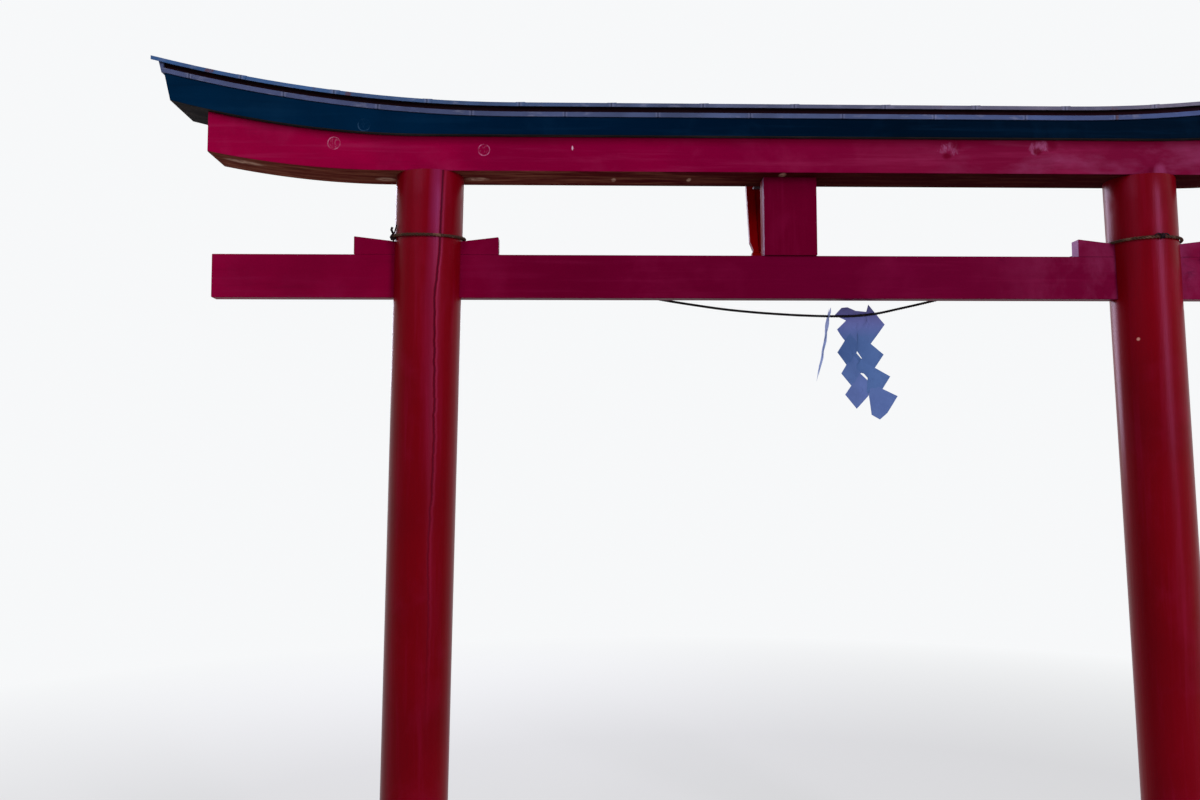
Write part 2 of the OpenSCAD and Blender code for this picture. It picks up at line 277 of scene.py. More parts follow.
knot_left = tied_knot(
    "rope_knot_left_turns", middle("rope_loop_left") + Vector((-0.1115, -0.036, -0.005)),
    (0.3, -0.95, 0.1), (-0.95, -0.3, 0),
    [(0.0088, [(0, 0, 2), (1, 0, 10), (-2, 0, 18), (-5, 0, 25), (-2, 0, 33)]),
     (0.0046, [(1, -3, 2), (6, -10, 12), (11, -20, 22), (16, -26, 36)]),
     (0.0056, [(0, -2, -3), (3, -5, -8), (2, -6, -15)])], 0.0064)
knot_right = tied_knot(
    "rope_knot_right_turns", middle("rope_loop_right") + Vector((0, -0.118, 0.002)),
    (1, 0, 0), (0, -1, 0),
    [(0.0056, [(2, -1, 1), (10, 0, 6), (17, 0, 6), (24, 1, 2)]),
     (0.0056, [(-2, -1, 1), (-9, 0, 7), (-16, 1, 6), (-22, 2, 1)])], 0.0056)
for piece, node in ((knot_left, "rope_knot_left"), (knot_right, "rope_knot_right")):
    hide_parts(node)
    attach(piece, "root")


# Paper streamers
# each panel's outline in millimetres, X and Z from the point on the rope, top panel first
PAPER_RIGHT = [
    [(39, 39), (94, -30), (40, -102), (14, -76), (-3, -57), (14, -38), (42, -8), (31, 10)],
    [(1, -58), (86, -134), (40, -203), (-6, -192), (-9, -184), (-3, -166), (9, -149), (19, -143),
     (6, -128), (-2, -120)],
    [(20, -157), (106, -209), (60, -283), (28, -262), (31, -213), (12, -190)],
    [(40, -231), (129, -276), (94, -333), (69, -355), (42, -339), (34, -273)]]
PAPER_LEFT = [
    [(-77, 2), (-52, 28), (-32, 30), (0, 16), (14, -22), (-28, -20)],
    [(-35, -13), (-6, 18), (34, 14), (46, -4), (38, -50), (-4, -112), (-40, -83), (-66, -45)],
    [(-23, -56), (4, -98), (-3, -128), (12, -147), (-18, -190), (-36, -166), (-64, -123)],
    [(-14, -128), (18, -182), (9, -196), (8, -206), (-12, -266), (-20, -241), (-53, -196)],
    [(6, -196), (31, -221), (38, -250), (34, -273), (-6, -318), (-42, -269)]]
PAPER_THICK = 0.0004
# these are in millimetres like the outlines
LAYER = 0.7  # from one panel to the next behind it
RIGHT_DEPTH, LEFT_DEPTH = 3.9, 6.2  # how deep the top panels lie behind the hanging point
EDGE_STEP, PANEL_RINGS = 9, 5  # a panel's points: their distance, and rings of them
BOW, RIPPLE = 1.3, 0.35  # how far a panel bulges, and its small waves
FOLD_X = 4  # the line about which the strips open
OPEN_FROM, OPEN_OVER = 8, 70  # the strips start to open so far below the rope, over this height
WEB_OUT, WEB_UP = 16, 26  # the size of the fold that joins two of the left panels


def paper_panel(outline, depth, verts, faces):
    """One folded square: rings of points from its middle, softly bowed."""
    cx = sum(p[0] for p in outline) / len(outline)
    cz = sum(p[1] for p in outline) / len(outline)
    edge = []
    for (ax, az), (bx, bz) in zip(outline, outline[1:] + outline[:1]):
        n = max(2, int(math.hypot(bx - ax, bz - az) / EDGE_STEP))
        edge += [(ax + (bx - ax) * k / n, az + (bz - az) * k / n) for k in range(n)]
    base = len(verts)
    verts.append(Vector((cx, depth, cz)))
    for r in range(1, PANEL_RINGS + 1):
        t = r / PANEL_RINGS
        for x, z in edge:
            px, pz = cx + t * (x - cx), cz + t * (z - cz)
            wave = RIPPLE * math.sin(0.11 * px + 0.07 * pz + depth)
            verts.append(Vector((px, depth - BOW * (1 - t * t) + wave, pz)))
    m = len(edge)
    for k in range(m):
        faces.append((base, base + 1 + k, base + 1 + (k + 1) % m))
    for r in range(PANEL_RINGS - 1):
        a, b = base + 1 + r * m, base + 1 + (r + 1) * m
        for k in range(m):
            faces.append((a + k, b + k, b + (k + 1) % m, a + (k + 1) % m))


def folded_streamer(name, hang, size, steps, turn, drift, open_left, open_right, curl=0.0):
    """A cut and folded paper streamer that hangs from a point of the rope; its angles are in degrees."""
    verts, faces = [], []
    webs = []
    for k, outline in enumerate(PAPER_RIGHT[:steps]):
        depth = RIGHT_DEPTH - LAYER * k
        paper_panel(outline, depth, verts, faces)
        if k:
            last = PAPER_RIGHT[k - 1]
            low, inner = last[2], last[3]
            webs.append([(low[0], depth + LAYER, low[1]), (inner[0], depth + LAYER, inner[1]),
                         (outline[0][0], depth, outline[0][1])])
    for k, outline in enumerate(PAPER_LEFT[:steps + 1]):
        depth = LEFT_DEPTH - LAYER * k
        paper_panel(outline, depth, verts, faces)
        if k > 1:
            low = min(PAPER_LEFT[k - 1], key=lambda p: p[1])
            webs.append([(low[0], depth + LAYER, low[1]), (low[0] + WEB_OUT, depth + LAYER, low[1] + WEB_UP),
                         (outline[0][0], depth, outline[0][1])])
    for web in webs:
        base = len(verts)
        verts += [Vector(p) for p in web]
        faces.append((base, base + 1, base + 2))
    foot = min(v.z for v in verts)
    turning = Matrix.Rotation(math.radians(drift), 3, "Y") @ Matrix.Rotation(math.radians(turn), 3, "Z")
    placed = []
    for v in verts:
        s = min(1.0, max(0.0, (-v.z - OPEN_FROM) / OPEN_OVER))
        s = s * s * (3 - 2 * s)
        y = v.y + s * (math.tan(math.radians(open_left)) * max(0.0, FOLD_X - v.x)
                       - math.tan(math.radians(open_right)) * max(0.0, v.x - FOLD_X))
        p = turning @ (Vector((v.x, y, v.z)) * size * MM)
        p.x += curl * (v.z / foot) ** 2 if v.z < 0 else 0.0
        placed.append(hang + p)
    obj = new_mesh(name, placed, faces)
    obj.modifiers.new("thickness", "SOLIDIFY").thickness = PAPER_THICK
    return obj


def on_span(x):
    """The point of the hanging rope at the distance x from the gate's middle."""
    return min(span_line, key=lambda p: abs(p.x - MID - x))


streamers = []
for side, x, nearer, flat, look in (
        ("right", 0.256, 0.0, (0.190, 0.420),
         dict(size=1.0, steps=4, turn=0, drift=0, open_left=17, open_right=7)),
        ("left", 0.160, 0.003, (0.140, 0.240),
         dict(size=0.78, steps=3, turn=84, drift=10, open_left=-2, open_right=3, curl=-0.004))):
    piece = folded_streamer("streamer_%s_paper" % side, on_span(x) - Vector((0, nearer, 0)), **look)
    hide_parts("streamer_" + side)
    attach(piece, "root")
    streamers.append(piece)


# Sheet laps on the roof and its band
SHEET_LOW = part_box("roof_sheet_middle")[0][2]
SHEET_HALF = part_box("roof_sheet_middle")[1][1]
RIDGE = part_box("roof_sheet_middle")[1][2]
SHEET_EDGE = 0.012  # height of the sheet's upright edge
BAND_LOW = UNDER + LOWER_H + UPPER_H
BAND_HIGH = BAND_LOW + BAND_H
BAND_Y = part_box("band_front")[1][1]
LAP_THICK = 0.0009
LAP_OVER = 0.0004  # a roof lap reaches this far past its sheet, a band lap stops this short
ROOF_LAP_START, ROOF_LAP_STEP = -1.771, 0.295
BAND_LAP_STEP = 0.29925  # between the band's laps, on the average
ROOF_LAPS = [ROOF_LAP_START + ROOF_LAP_STEP * k for k in range(13)]
BAND_LAPS = [-1.937, -1.638, -1.343, -1.034, -0.740, -0.444, -0.143,
             0.156, 0.448, 0.759, 1.056, 1.355, 1.654, 1.953]


def roof_rise(x):
    return max(0.0, abs(x) - TOP_ARC_START) ** 2 / (2 * TOP_ARC_R)


def lap_strips(name, places, profile, width, proud, slant=0.0):
    """Overlapping sheet ends: thin strips laid over a profile in Y and Z, which follow the bend.

    Each strip stands a quarter of proud off the sheet at its left edge and proud at its right one,
    and every other strip slants less.
    """
    verts, faces = [], []
    n = len(profile)
    for k, place in enumerate(places):
        base = len(verts)
        skew = slant * (1 if k % 2 else 0.6)
        for step in (0.0, 0.5, 1.0):
            for (y, z), (ny, nz) in profile:
                x = place - width / 2 + width * step + skew * (z - profile[0][0][1])
                lift = proud * (0.25 + 0.75 * step)
                verts.append(Vector((MID + x, y + ny * lift, z + nz * lift + roof_rise(x))))
        for i in range(2):
            for j in range(n - 1):
                a = base + i * n + j
                faces.append((a, a + 1, a + n + 1, a + n))
    obj = new_mesh(name, verts, faces)
    solid = obj.modifiers.new("thickness", "SOLIDIFY")
    solid.thickness = LAP_THICK
    solid.offset = 0
    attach(obj, "root")
    return obj


# a profile's points, and the direction in which the sheet faces there
shoulder = SHEET_LOW + SHEET_EDGE
slope = Vector((SHEET_HALF, RIDGE - shoulder)).normalized()
half_profile = [((SHEET_HALF, SHEET_LOW - LAP_OVER), (1, 0)), ((SHEET_HALF, shoulder), (0.8, 0.6)),
                ((SHEET_HALF / 2, (shoulder + RIDGE) / 2), (slope.y, slope.x))]
roof_profile = ([((-y, z), (-ny, nz)) for (y, z), (ny, nz) in half_profile] + [((0, RIDGE), (0, 1))]
                + half_profile[::-1])
roof_laps = lap_strips("roof_sheet_laps", ROOF_LAPS, roof_profile, width=0.030, proud=0.0011, slant=0.25)
band_laps = []
for side, s in (("near", -1), ("far", 1)):
    band_profile = [((s * BAND_Y, BAND_LOW + LAP_OVER), (s, 0)), ((s * BAND_Y, BAND_HIGH - LAP_OVER), (s, 0))]
    band_laps.append(lap_strips("band_laps_" + side, BAND_LAPS, band_profile, width=0.016, proud=0.0009))


# Materials
class Nodes:
    """Short names for building one material's nodes; places are the frame's own, in metres."""

    def __init__(self, name):
        self.mat = bpy.data.materials.new(name)
        self.mat.use_nodes = True
        self.tree = self.mat.node_tree
        self.tree.nodes.clear()
        self.out = self.add("ShaderNodeOutputMaterial")
        self.bsdf = self.add("ShaderNodeBsdfPrincipled")
        self.link(self.bsdf.outputs[0], self.out.inputs[0])
        self.coord = self.add("ShaderNodeTexCoord").outputs["Object"]

    def add(self, kind, **values):
        node = self.tree.nodes.new(kind)
        for key, value in values.items():
            setattr(node, key, value)
        return node

    def link(self, a, b):
        self.tree.links.new(a, b)

    def put(self, socket, value):
        if hasattr(value, "is_output"):
            self.link(value, socket)
        else:
            socket.default_value = value

    def noise(self, stretch, scale, detail, rough, warp=0.0, place=(0, 0, 0), turn=(0, 0, 0)):
        """Noise about 0.5, drawn out along the axes where stretch is under 1."""
        m = self.add("ShaderNodeMapping")
        self.link(self.coord, m.inputs["Vector"])
        m.inputs["Scale"].default_value = stretch
        m.inputs["Location"].default_value = place
        m.inputs["Rotation"].default_value = turn
        n = self.add("ShaderNodeTexNoise")
        self.link(m.outputs[0], n.inputs["Vector"])
        n.inputs["Scale"].default_value = scale
        n.inputs["Detail"].default_value = detail
        n.inputs["Roughness"].default_value = rough
        n.inputs["Distortion"].default_value = warp
        return n.outputs[0]

    def ramp(self, factor, stops):
        """Numbers or colours between stops (place, value)."""
        r = self.add("ShaderNodeValToRGB")
        self.link(factor, r.inputs[0])
        e = r.color_ramp.elements
        while len(e) < len(stops):
            e.new(0.5)
        for item, (place, colour) in zip(e, stops):
            item.position = place
            item.color = colour if hasattr(colour, "__len__") else (colour, colour, colour, 1)
        return r.outputs[0]

    def mix(self, factor, a, b):
        m = self.add("ShaderNodeMix", data_type="RGBA")
        self.put(m.inputs[0], factor)
        self.put(m.inputs[6], a)
        self.put(m.inputs[7], b)
        return m.outputs[2]

    def math(self, op, a, b=0.0, clamp=False):
        m = self.add("ShaderNodeMath", operation=op, use_clamp=clamp)
        self.put(m.inputs[0], a)
        self.put(m.inputs[1], b)
        return m.outputs[0]

    def times(self, a, b, clamp=False):
        return self.math("MULTIPLY", a, b, clamp)

    def plus(self, a, b, clamp=False):
        return self.math("ADD", a, b, clamp)

    def minus(self, a, b):
        return self.math("SUBTRACT", a, b)

    def bump(self, height, distance, strength):
        b = self.add("ShaderNodeBump")
        b.inputs["Strength"].default_value = strength
        b.inputs["Distance"].default_value = distance
        self.link(height, b.inputs["Height"])
        return b.outputs[0]

    def spot(self, centre, radii):
        """1 at a point, falling to 0 at the radii along X, Y and Z."""
        m = self.add("ShaderNodeMapping", vector_type="TEXTURE")
        self.link(self.coord, m.inputs["Vector"])
        m.inputs["Location"].default_value = centre
        m.inputs["Scale"].default_value = radii
        length = self.add("ShaderNodeVectorMath", operation="LENGTH")
        self.link(m.outputs[0], length.inputs[0])
        return self.math("SUBTRACT", 1.0, length.outputs["Value"], clamp=True)

    def axis(self, name):
        s = self.add("ShaderNodeSeparateXYZ")
        self.link(self.coord, s.inputs[0])
        return s.outputs[name]

    def facing(self, name):
        """How far a face looks along an axis, from -1 to 1."""
        g = self.add("ShaderNodeNewGeometry")
        s = self.add("ShaderNodeSeparateXYZ")
        self.link(g.outputs["Normal"], s.inputs[0])
        return s.outputs[name]


EVEN = (1, 1, 1)
GRAIN = {"X": (0.05, 1, 1), "Z": (1, 1, 0.05)}
BY_HEIGHT = (0.001, 0.001, 1)  # stretches noise so that it changes along Z alone
WOOD_BUMP, WOOD_RELIEF = 0.0012, 0.55
SPOT_DEPTH = 0.03  # how deep a mark on a face reaches
TINT_REACH = 2.1  # colours along the gate are given up to this distance from its middle


def painted_wood(name, colour, faded, deep, along, rough, spec, marks=None, underside=None,
                 glint=(1.0, 0.06, 0.30)):
    """Paint over planed timber: broad fading, brush lines, fine grain and specks.

    The colour is one colour or a function that makes it, and marks adds what one piece alone has.
    """
    m = Nodes(name)
    sx, sy, sz = GRAIN[along]
    broad = m.noise(EVEN, 1.7, 4, 0.55, 0.5)
    cloud = m.noise((0.6, 1, 0.6), 9.0, 4, 0.6, 0.3)
    streak = m.noise(GRAIN[along], 40, 5, 0.62, 0.25)
    fine = m.noise((sx * 0.6, sy, sz), 210, 3, 0.6)
    speck = m.noise(EVEN, 240, 2, 0.5)
    if callable(colour):
        colour = colour(m)
    base = m.mix(m.ramp(broad, [(0.36, 0.55), (0.62, 0.0)]), colour, deep)
    base = m.mix(m.ramp(cloud, [(0.52, 0.0), (0.80, 0.28)]), base, faded)
    base = m.mix(m.ramp(streak, [(0.52, 0.0), (0.80, 0.32)]), base, faded)
    base = m.mix(m.ramp(streak, [(0.22, 0.40), (0.42, 0.0)]), base, deep)
    base = m.mix(m.ramp(speck, [(0.76, 0.0), (0.82, 0.30)]), base, faded)
    height = m.plus(m.times(streak, 0.6), m.times(fine, 0.4))
    if underside is not None:
        base = underside(m, base)
    if marks is not None:
        base, height = marks(m, base, height)
    m.link(base, m.bsdf.inputs["Base Color"])
    matt = m.plus(rough - 0.06, m.times(broad, 0.12))
    matt = m.plus(matt, m.times(m.ramp(streak, [(0.5, 0.0), (0.8, 1.0)]), 0.10))
    if underside is not None:
        matt = m.plus(matt, m.times(is_below(m), 0.5), clamp=True)
    m.link(matt, m.bsdf.inputs["Roughness"])
    m.bsdf.inputs["Specular IOR Level"].default_value = spec
    m.bsdf.inputs["Specular Tint"].default_value = (*glint, 1)
    m.link(m.bump(height, WOOD_BUMP, WOOD_RELIEF), m.bsdf.inputs["Normal"])
    return m.mat


def along_gate(m, stops):
    """A colour that changes along X; stops are (metres from the middle, colour)."""
    x = m.times(m.minus(m.axis("X"), MID - TINT_REACH), 1 / (2 * TINT_REACH))
    return m.ramp(x, [((place + TINT_REACH) / (2 * TINT_REACH), colour) for place, colour in stops])


def up_pillar(m):
    """0 at a pillar's foot, 1 at the lintel's underside."""
    return m.times(m.axis("Z"), 1 / UNDER)


def is_below(m):
    """1 on undersides."""
    return m.ramp(m.times(m.facing("Z"), -1.0), [(0.55, 0.0), (0.8, 1.0)])


def on_sides(m):
    """1 on the long upright faces, 0 on the ends, the top and the underside."""
    return m.ramp(m.math("ABSOLUTE", m.facing("Y")), [(0.6, 0.0), (0.8, 1.0)])


def on_left_ends(m):
    """1 on upright faces that look back along -X."""
    return m.ramp(m.times(m.facing("X"), -1.0), [(0.6, 0.0), (0.8, 1.0)])


def face_spot(m, x, z, r, tall=1.0, y=NEAR_FACE):
    """A round mark on a face that looks back along -Y: x from the middle, z from the lintel's underside."""
    return m.spot((MID + x, y, UNDER + z), (r, SPOT_DEPTH, r * tall))


def ring_mark(m, base, height, spot, colour, amount, seed):
    """A plugged bolt hole that shows as a thin pale ring, whole or broken, with scratches inside."""
    ring = m.ramp(spot, [(0.03, 0.0), (0.10, 1.0), (0.15, 1.0), (0.24, 0.0)])
    gaps = m.ramp(m.noise(EVEN, 34, 4, 0.65, place=(seed, 0, 0)), [(0.42, 0.05), (0.62, 1.0)])
    scratch = m.ramp(m.noise((1, 1, 0.4), 260, 3, 0.6, place=(seed, 0, 1)), [(0.52, 0.0), (0.66, 1.0)])
    inner = m.times(m.ramp(spot, [(0.22, 0.0), (0.30, 0.3)]), scratch)
    mask = m.times(m.plus(m.times(ring, gaps), inner, clamp=True), amount)
    return m.mix(mask, base, colour), m.plus(height, m.times(ring, 0.9))


def ghost_knot(m, base, height, core, halo):
    """A knot whose resin lifts the paint: a feathery pale patch round a small dark heart."""
    grain = m.noise((1.5, 1, 0.5), 62, 4, 0.65, 1.6)
    tear = m.minus(m.noise((1, 1, 0.7), 24, 3, 0.6, 0.8), 0.5)
    edge = m.plus(halo, m.times(tear, 2.2))
    patch = m.times(m.ramp(edge, [(0.30, 0.0), (0.62, 0.85)]), m.ramp(grain, [(0.38, 0.15), (0.60, 1.0)]))
    patch = m.times(patch, m.ramp(halo, [(0.0, 0.0), (0.12, 1.0)]))
    base = m.mix(patch, base, srgb(138, 70, 104))
    heart = m.ramp(m.plus(core, m.times(tear, 0.6)), [(0.02, 0.0), (0.55, 0.85)])
    heart = m.times(heart, m.ramp(core, [(0.0, 0.0), (0.15, 1.0)]))
    height = m.minus(height, m.times(heart, 1.2))
    return m.mix(heart, base, srgb(88, 0, 24)), m.plus(height, m.times(patch, 0.5))


def end_grain(m, base, height, y, z):
    """Growth rings and short checks on a beam's cut ends; y and z give the heart of the log."""
    ends = m.ramp(m.math("ABSOLUTE", m.facing("X")), [(0.7, 0.0), (0.9, 1.0)])
    wobble = m.times(m.noise((0.2, 1, 1), 9, 3, 0.5), 0.012)
    dy, dz = m.minus(m.axis("Y"), y), m.minus(m.axis("Z"), z)
    r = m.math("SQRT", m.plus(m.times(dy, dy), m.times(dz, dz)))
    ring = m.ramp(m.math("SINE", m.times(m.plus(r, wobble), 1100)), [(0.2, 0.0), (0.9, 0.22)])
    check = m.ramp(m.noise((0.1, 1, 0.3), 90, 4, 0.6, 0.4), [(0.62, 0.0), (0.72, 0.5)])
    dark = m.times(m.plus(ring, check, clamp=True), ends)
    return m.mix(dark, base, srgb(44, 0, 16)), m.minus(height, m.times(dark, 0.9))


# The lower lintel
# x from the middle, z from the underside, radius, colour, strength, seed of the gaps
LINTEL_RINGS = ((-1.481, 0.088, 0.0225, srgb(196, 132, 160), 0.7, 1.3),
                (-1.001, 0.069, 0.021, srgb(200, 120, 158), 0.65, 5.2))
# x and z of the heart, how far the pale patch lies above it, x and z of a dark stain beside it
LINTEL_KNOTS = ((0.504, 0.058, 0.026, 0.032, 0.039), (0.804, 0.075, 0.016, 0.050, 0.022))
# x from the middle, y and radius of the pale flakes on the underside
UNDERSIDE_FLAKES = ((-1.78, -0.032, 0.085), (-1.33, 0.02, 0.045), (-1.03, 0.01, 0.05),
                    (-0.58, 0.011, 0.011), (-0.33, 0.006, 0.010), (-0.03, -0.058, 0.016))


def lintel_tint(m):
    return along_gate(m, [(-1.9, srgb(140, 2, 52)), (-1.0, srgb(132, 0, 49)), (-0.2, srgb(118, 0, 46)),
                          (0.7, srgb(109, 19, 50)), (1.5, srgb(99, 14, 45))])


def lintel_underside(m, base):
    """Bare brown timber under the lintel, paler where paint has flaked, with painted light and shade along
    the gate.
    """
    # painted light and shade: lighter brown at the left end, where light comes up from the ground, near black
    # in the middle
    tone = along_gate(m, [(-1.9, srgb(88, 40, 30)), (-1.25, srgb(84, 28, 22)), (-0.9, srgb(76, 20, 18)),
                          (-0.3, srgb(56, 2, 8)), (0.5, srgb(42, 0, 4)), (1.6, srgb(52, 0, 8))])
    grain = m.noise((0.12, 1, 1), 46, 4, 0.6, 0.5)
    bare = m.times(m.ramp(grain, [(0.44, 0.0), (0.66, 0.8)]),
                   m.ramp(m.minus(MID, m.axis("X")), [(0.0, 0.15), (0.9, 1.0)]))
    tone = m.mix(bare, tone, srgb(124, 74, 56))
    tone = m.mix(m.ramp(grain, [(0.25, 0.5), (0.42, 0.0)]), tone, srgb(48, 16, 16))
    ragged = m.ramp(m.noise((0.5, 1, 1), 60, 3, 0.6, 0.8), [(0.36, 0.2), (0.58, 1.0)])
    for x, y, r in UNDERSIDE_FLAKES:
        flake = m.spot((MID + x, y, UNDER + 0.02), (r, SPOT_DEPTH, 0.2))
        tone = m.mix(m.times(m.ramp(flake, [(0.1, 0.0), (0.6, 0.9)]), ragged), tone, srgb(172, 136, 118))
    return m.mix(is_below(m), base, tone)


def eaves_shadow(m, base):
    """Painted shadow of the upper lintel's overhang along the lower lintel's top, following the upsweep of
    the lintels.
    """
    past_arc = m.minus(m.math("ABSOLUTE", m.minus(m.axis("X"), MID)), LOWER_ARC_START)
    rise = m.times(m.math("POWER", m.math("MAXIMUM", past_arc, 0.0), 2.0), 0.5 / LOWER_ARC_R)
    depth = m.minus(m.plus(rise, UNDER + LOWER_H), m.axis("Z"))
    uneven = m.times(m.noise((0.6, 1, 1), 6, 3, 0.6), 0.020)
    eaves_shade = m.ramp(m.times(m.minus(depth, uneven), 20), [(0.0, 0.62), (0.10, 0.45), (0.42, 0.0)])
    # painted shadow on the long faces, darkest at their top edge
    return m.mix(m.times(eaves_shade, on_sides(m)), base, srgb(80, 0, 22))


def lintel_marks(m, base, height):
    """A painted pale violet sheen towards the right, painted shadow under the upper lintel, bolt rings, knots
    with their stains, and a small flake.
    """
    # a pale violet patch on the long faces right of the middle: a painted sheen
    sheen_cloud = m.noise((0.45, 1, 1.3), 11, 5, 0.6, 0.25)
    right = m.ramp(m.times(m.minus(m.axis("X"), MID + 0.2), 0.7), [(0.0, 0.0), (0.45, 1.0)])
    mask = m.times(m.times(right, on_sides(m)), m.ramp(sheen_cloud, [(0.46, 0.0), (0.70, 0.34)]))
    base = m.mix(mask, base, srgb(142, 66, 104))
    base = eaves_shadow(m, base)
    for x, z, r, colour, amount, seed in LINTEL_RINGS:
        base, height = ring_mark(m, base, height, face_spot(m, x, z, r), colour, amount, seed)
    stains = [(1.182, 0.012, 0.020)]
    for x, z, above, stain_x, stain_z in LINTEL_KNOTS:
        heart, halo = face_spot(m, x, z, 0.019, 0.8), face_spot(m, x + 0.006, z + above, 0.046, 0.75)
        base, height = ghost_knot(m, base, height, heart, halo)
        stains.append((x + stain_x, z + stain_z, 0.022))
    for x, z, r in stains:
        stain = m.ramp(face_spot(m, x, z, r), [(0.0, 0.0), (0.6, 0.6)])
        base = m.mix(stain, base, srgb(84, 0, 24))
    pale = m.times(m.ramp(face_spot(m, 1.208, 0.006, 0.026, 1.5), [(0.0, 0.0), (0.5, 0.55)]),
                   m.ramp(m.noise((1.6, 1, 0.4), 50, 3, 0.6), [(0.30, 0.4), (0.55, 1.0)]))
    base = m.mix(pale, base, srgb(142, 60, 100))
    base, height = end_grain(m, base, height, -0.02, UNDER + 0.09)
    flake = m.times(face_spot(m, -0.716, 0.077, 0.0032, 2.6), 3.0, clamp=True)
    return m.mix(flake, base, srgb(190, 150, 170)), height


# The upper lintel
def black_tint(m):
    return along_gate(m, [(-1.9, srgb(0, 32, 58)), (-0.9, srgb(0, 26, 50)), (-0.4, srgb(0, 18, 38)),
                          (0.4, srgb(0, 6, 16)), (1.8, srgb(0, 3, 10))])


def black_underside(m, base):
    grain = m.noise((0.2, 1, 1), 30, 4, 0.6, 0.4)
    tone = m.mix(m.ramp(grain, [(0.4, 0.0), (0.7, 0.6)]), srgb(38, 36, 36), srgb(66, 60, 58))
    return m.mix(is_below(m), base, tone)


def black_marks(m, base, height):
    spot = face_spot(m, -1.382, 0.142, 0.022, y=UPPER_FACE)
    return ring_mark(m, base, height, spot, srgb(52, 84, 112), 0.5, 2.1)


# The tie beam and the strut
# x from the middle, z from the lintel's underside, radius, height against width
BEAM_STAINS = ((1.326, -0.300, 0.034, 1.9), (1.372, -0.262, 0.020, 1.4), (0.706, -0.272, 0.030, 0.5))


def beam_tint(m):
    # the paler red from the right pillar outwards is a painted sheen
    return along_gate(m, [(-1.9, srgb(136, 4, 52)), (-1.25, srgb(116, 0, 40)), (-0.85, srgb(95, 0, 35)),
                          (0.1, srgb(92, 0, 37)), (1.18, srgb(94, 2, 38)), (1.30, srgb(108, 12, 48))])


def beam_marks(m, base, height):
    """Dark weathering beside the right pillar, a stain near the middle, pale scuffs of worn paint that are
    also a painted sheen, and painted sky light on the end faces that look along -X.
    """
    rag = m.ramp(m.noise((0.5, 1, 1), 34, 4, 0.65, 1.2), [(0.44, 0.0), (0.60, 0.75)])
    for x, z, r, tall in BEAM_STAINS:
        stain = m.times(m.ramp(face_spot(m, x, z, r, tall, BEAM_FACE), [(0.0, 0.0), (0.6, 1.0)]), rag)
        base = m.mix(stain, base, srgb(70, 0, 30))
        height = m.minus(height, m.times(stain, 0.8))
    # pale violet scuffs right of the middle: worn paint that is also a painted sheen
    scuff_and_sheen = m.noise((0.9, 1, 0.5), 13, 5, 0.62, 0.3, turn=(0, 0.4, 0))
    right = m.ramp(m.minus(m.axis("X"), MID + 0.6), [(0.0, 0.0), (0.55, 0.34)])
    scuff_and_sheen = m.times(m.ramp(scuff_and_sheen, [(0.40, 0.0), (0.72, 1.0)]), right)
    base = m.mix(m.times(scuff_and_sheen, on_sides(m)), base, srgb(146, 62, 104))
    # painted light: end faces that look along -X, right of the middle, painted as lit by the sky
    sky_lit_ends = m.times(on_left_ends(m), m.math("GREATER_THAN", m.axis("X"), MID))
    base = m.mix(sky_lit_ends, base, srgb(154, 96, 148))
    return end_grain(m, base, height, 0.0, UNDER - 0.33)


def strut_edge(m, base, height):
    """The strut's left side: a painted pale highlight along its front edge, and a brighter red behind it as
    painted light.
    """
    side = on_left_ends(m)
    front = m.ramp(m.times(m.plus(m.axis("Y"), 0.036), 10), [(0.25, 1.0), (0.42, 0.0)])
    highlight_breaks = m.ramp(m.noise((1, 1, 0.2), 60, 3, 0.6), [(0.35, 0.4), (0.6, 1.0)])
    # painted highlight along the front edge of the left side, broken up by noise
    base = m.mix(m.times(m.times(side, front), highlight_breaks), base, srgb(138, 84, 122))
    # painted light: the rest of the left side a brighter red
    return m.mix(m.times(side, m.minus(1.0, front)), base, srgb(110, 0, 8)), height


# The pillars
# the crack's way: height from the lintel's underside, distance to the right of the pillar's axis
CRACK_PATH = ((-1.75, 0.041), (-1.41, 0.043), (-1.22, 0.036), (-0.92, 0.046), (-0.64, 0.042),
              (-0.42, 0.036), (-0.26, 0.048), (0.0, 0.053))
PATH_SCALE = 10  # distances pass through a ramp's colours enlarged by this


def pillar_tint(m):
    """Crimson near the top, warmer and darker towards the foot."""
    return m.ramp(up_pillar(m), [(0.0, srgb(110, 0, 9)), (0.3, srgb(110, 0, 8)), (0.45, srgb(104, 0, 4)),
                                 (0.8, srgb(109, 0, 8)), (1.0, srgb(110, 0, 14))])


def wander(m, stops):
    """A value that follows the height, through the stops."""
    low, high = stops[0][0], stops[-1][0]
    z = m.times(m.minus(m.axis("Z"), UNDER + low), 1 / (high - low))
    grey = m.ramp(z, [((place - low) / (high - low), PATH_SCALE * value) for place, value in stops])
    return m.times(grey, 1 / PATH_SCALE)


def foot_grime(m, base, height):
    """Splashed dust on the lowest 17 cm of a pillar."""
    low = m.ramp(m.times(m.axis("Z"), 5), [(0.0, 1.0), (0.25, 0.6), (0.85, 0.0)])
    splash = m.times(low, m.ramp(m.noise((1, 1, 0.7), 55, 5, 0.65, 0.4), [(0.42, 0.0), (0.62, 0.55)]))
    return m.mix(splash, base, srgb(96, 62, 52)), m.plus(height, m.times(splash, 0.4))


